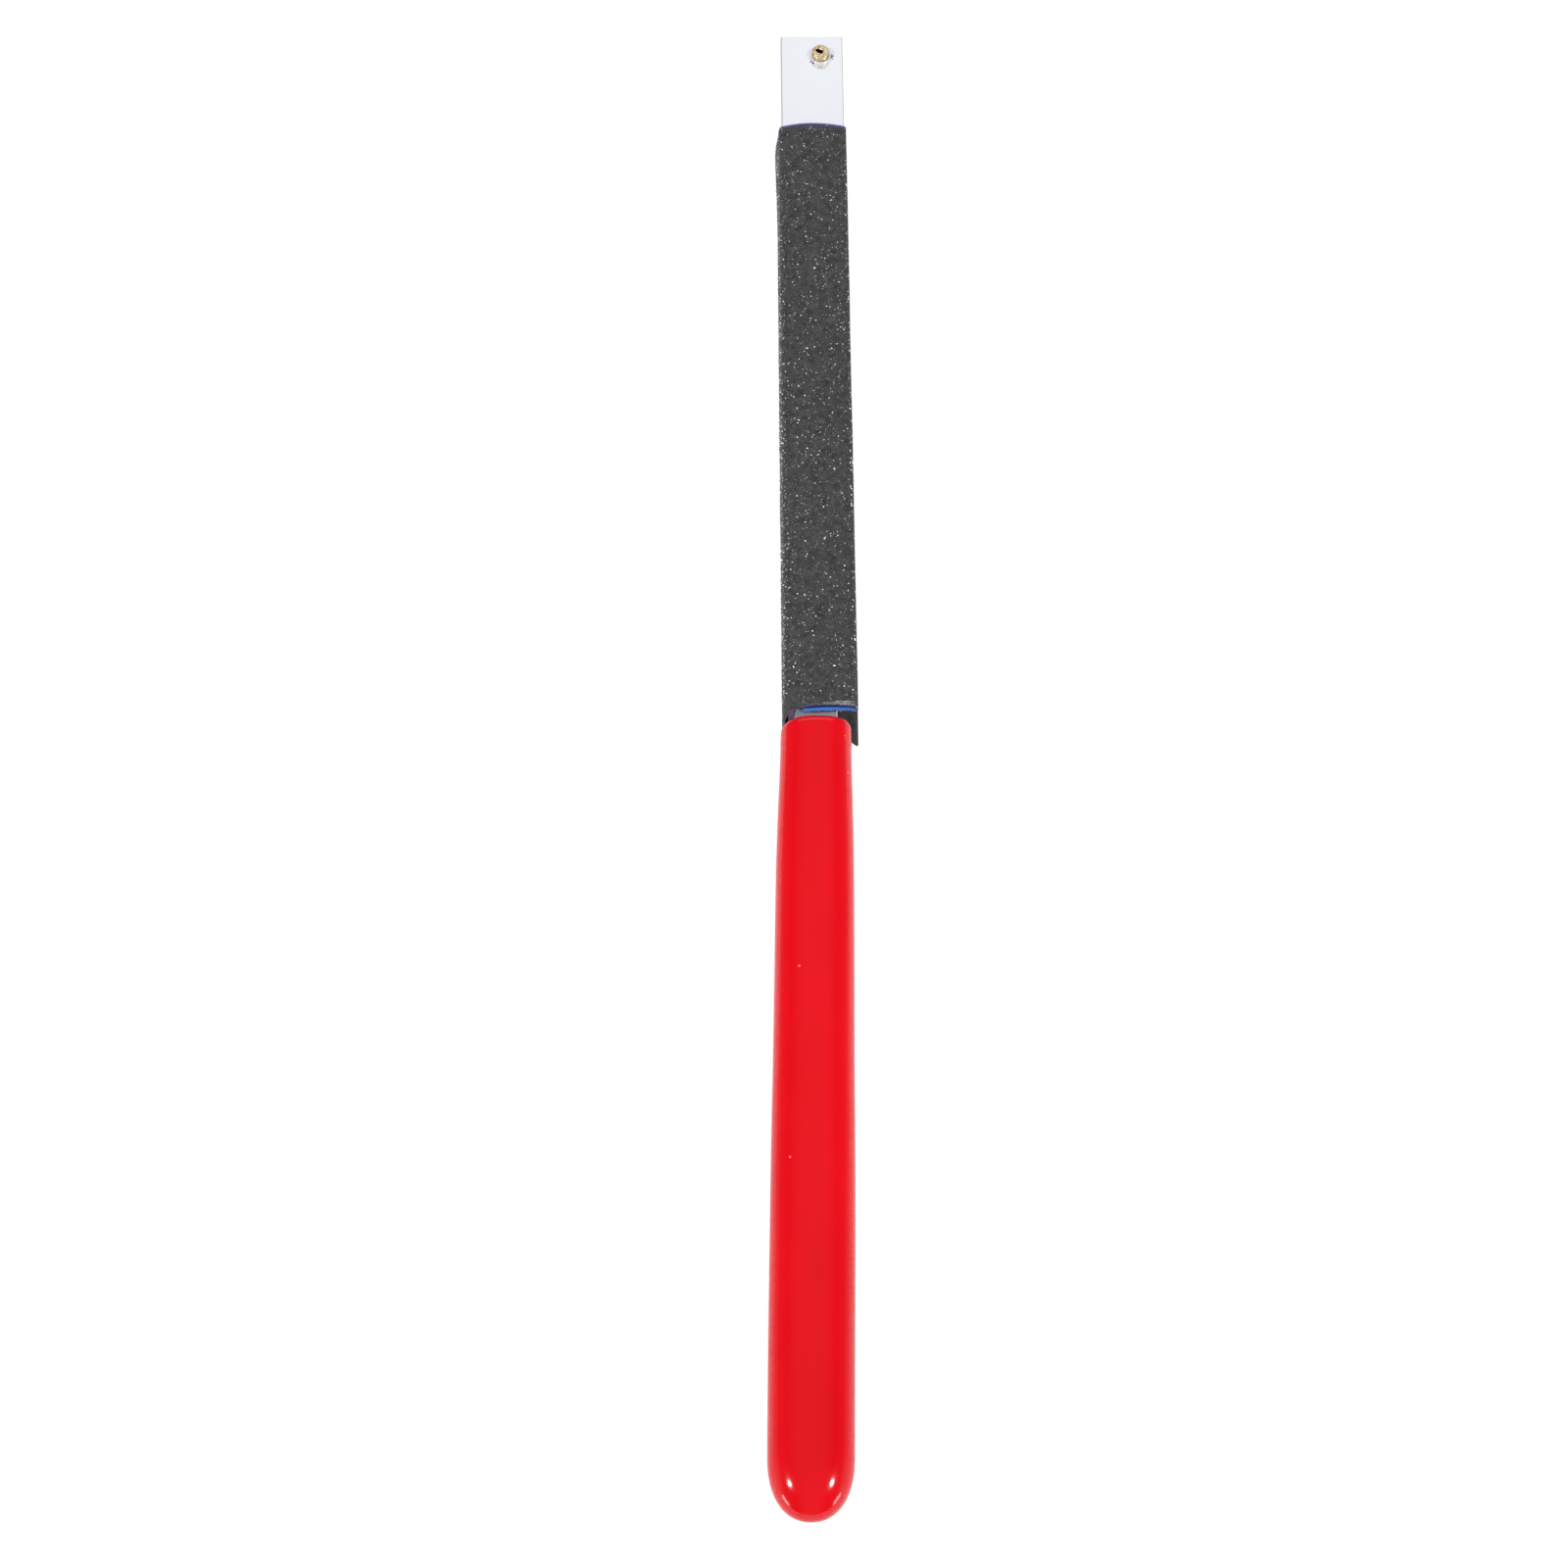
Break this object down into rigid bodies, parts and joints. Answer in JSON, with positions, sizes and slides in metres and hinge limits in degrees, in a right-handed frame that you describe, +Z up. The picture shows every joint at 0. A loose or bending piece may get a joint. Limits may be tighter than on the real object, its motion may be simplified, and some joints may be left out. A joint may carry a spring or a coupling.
{
  "type": "folding abrasive-cloth file",
  "caption": "Long slim hand file: an abrasive strip wrapped round a U-shaped metal channel, clamped by a folding bar with a soft vinyl grip.",
  "frame": {"origin": "middle of the base, with the tool folded and lying on its back", "axes": "+Z up through the side that shows the peened rivet end, +Y from the grip to the pivot end along the channel, +X out of the channel's open side"},
  "size_m": [0.0206, 0.3558, 0.0127],
  "materials": {
    "channel_metal": "bright satin extrusion",
    "bar_metal": "bright plated bar",
    "grip_vinyl": "glossy soft vinyl",
    "rivet_brass": "peened, bright",
    "washer_metal": "bright, thin",
    "spacer_metal": "plain washer",
    "abrasive_cloth": "black grit on blue cloth"
  },
  "bodies": {
    "holder": {"holder_channel": "channel_metal", "pivot_rivet": "rivet_brass", "rivet_washer": "washer_metal", "spacer_front": "spacer_metal", "spacer_back": "spacer_metal"},
    "handle": {"handle_bar": "bar_metal", "vinyl_grip": "grip_vinyl"},
    "strip": {"abrasive_strip": "abrasive_cloth"}
  },
  "joints": [
    {"name": "handle_fold", "type": "hinge", "parent": "holder", "child": "handle", "pos_m": [0.00455, 0.17201, 0.00556], "axis": [0, 0, 1], "range_deg": [0, 204]},
    {"name": "strip_slide", "type": "slide", "parent": "holder", "child": "strip", "axis": [0, 1, 0], "range_m": [0, 0.017]}
  ]
}
